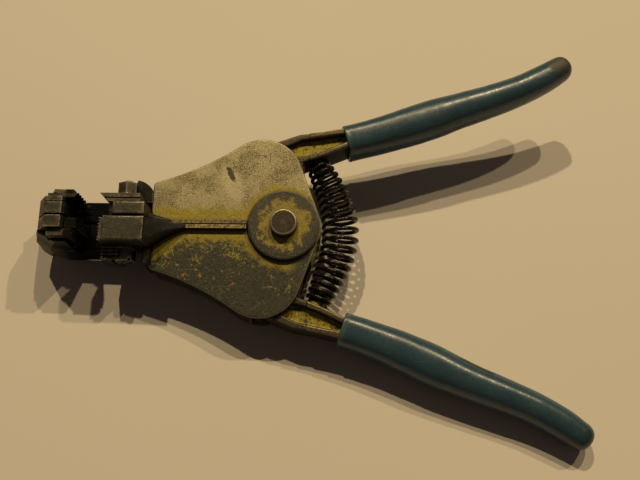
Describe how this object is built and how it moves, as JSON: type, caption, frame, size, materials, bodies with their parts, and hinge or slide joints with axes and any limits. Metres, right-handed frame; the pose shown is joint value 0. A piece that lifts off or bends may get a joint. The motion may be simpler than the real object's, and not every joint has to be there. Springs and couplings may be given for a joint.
{
  "type": "wire stripper",
  "caption": "Automatic wire stripper: sprung handles pull a blade jaw and a gripper jaw shut, then two frame halves swing apart on one stud.",
  "frame": {"origin": "centre of the pivot stud's back face", "axes": "+X towards the handles along the split between the frame halves, +Y towards the cutting side, +Z out of the front face, along the stud"},
  "size_m": [0.1907, 0.1415, 0.0325],
  "materials": {
    "frame_paint": "worn yellow paint over grey casting",
    "cover_paint": "worn paint over grey casting",
    "disc_steel": "dull, with a ring of old paint",
    "stud_steel": "worn bright rim",
    "jaw_steel": "blackened, worn at the edges",
    "blade_steel": "ground",
    "handle_cast": "yellow web, bare flanges",
    "vinyl": "dipped blue vinyl",
    "spring_wire": "blackened",
    "screw_steel": "dark"
  },
  "bodies": {
    "grip_frame": {"grip_frame": "frame_paint", "grip_frame_cover": "cover_paint", "grip_cover_screws": "screw_steel", "pivot_stud": "stud_steel", "front_pivot_disc": "disc_steel", "back_pivot_disc": "disc_steel", "hub_washer": "screw_steel", "inner_gripper": "jaw_steel", "inner_gripper_screw": "screw_steel", "inner_gripper_washer": "screw_steel", "side_guide": "jaw_steel"},
    "blade_frame": {"blade_frame": "frame_paint", "blade_frame_cover": "cover_paint", "blade_cover_screws": "screw_steel", "inner_blade": "blade_steel", "inner_blade_spacer": "blade_steel", "inner_blade_screw": "screw_steel", "inner_blade_nut": "screw_steel", "inner_blade_washer": "screw_steel"},
    "blade_handle": {"blade_handle": "handle_cast", "blade_grip_sleeve": "vinyl", "blade_crank_pin": "screw_steel"},
    "grip_handle": {"grip_handle": "handle_cast", "grip_grip_sleeve": "vinyl", "grip_crank_pin": "screw_steel", "main_spring": "spring_wire"},
    "blade_jaw": {"blade_outer_jaw": "jaw_steel", "blade_draw_bar": "jaw_steel", "blade_jaw_rivets": "screw_steel", "outer_blade": "blade_steel", "outer_blade_spacer": "jaw_steel", "outer_blade_clamp": "jaw_steel", "outer_blade_screw": "screw_steel"},
    "grip_jaw": {"grip_outer_jaw": "jaw_steel", "grip_draw_bar": "jaw_steel", "grip_jaw_rivets": "screw_steel", "outer_gripper": "jaw_steel", "outer_gripper_face": "jaw_steel", "outer_gripper_screw": "screw_steel"}
  },
  "joints": [
    {"name": "grip_handle_squeeze", "type": "hinge", "parent": "grip_frame", "child": "grip_handle", "pos_m": [0, 0, 0.013], "axis": [0, 0, 1], "range_deg": [0, 18], "stiffness_Nm_per_rad": 1, "springref_deg": -17.19, "deforming": ["main_spring"]},
    {"name": "blade_handle_squeeze", "type": "hinge", "parent": "blade_frame", "child": "blade_handle", "pos_m": [0, 0, 0.013], "axis": [0, 0, -1], "range_deg": [0, 18], "stiffness_Nm_per_rad": 1, "springref_deg": -17.19, "deforming": ["main_spring"]},
    {"name": "grip_jaw_slide", "type": "slide", "parent": "grip_frame", "child": "grip_jaw", "axis": [1, 0, 0], "range_m": [0, 0.0072]},
    {"name": "blade_jaw_slide", "type": "slide", "parent": "blade_frame", "child": "blade_jaw", "axis": [1, 0, 0], "range_m": [0, 0.0072]},
    {"name": "frame_spread", "type": "hinge", "parent": "grip_frame", "child": "blade_frame", "pos_m": [0, 0, 0.013], "axis": [0, 0, -1], "range_deg": [0, 16], "stiffness_Nm_per_rad": 1.5, "springref_deg": -11.46, "deforming": ["main_spring"]}
  ],
  "couplings": [
    {"joint": "blade_handle_squeeze", "follows": "grip_handle_squeeze", "ratio": 1},
    {"joint": "grip_jaw_slide", "follows": "grip_handle_squeeze", "m_per_rad": 0.022855},
    {"joint": "blade_jaw_slide", "follows": "grip_handle_squeeze", "m_per_rad": 0.022855}
  ]
}
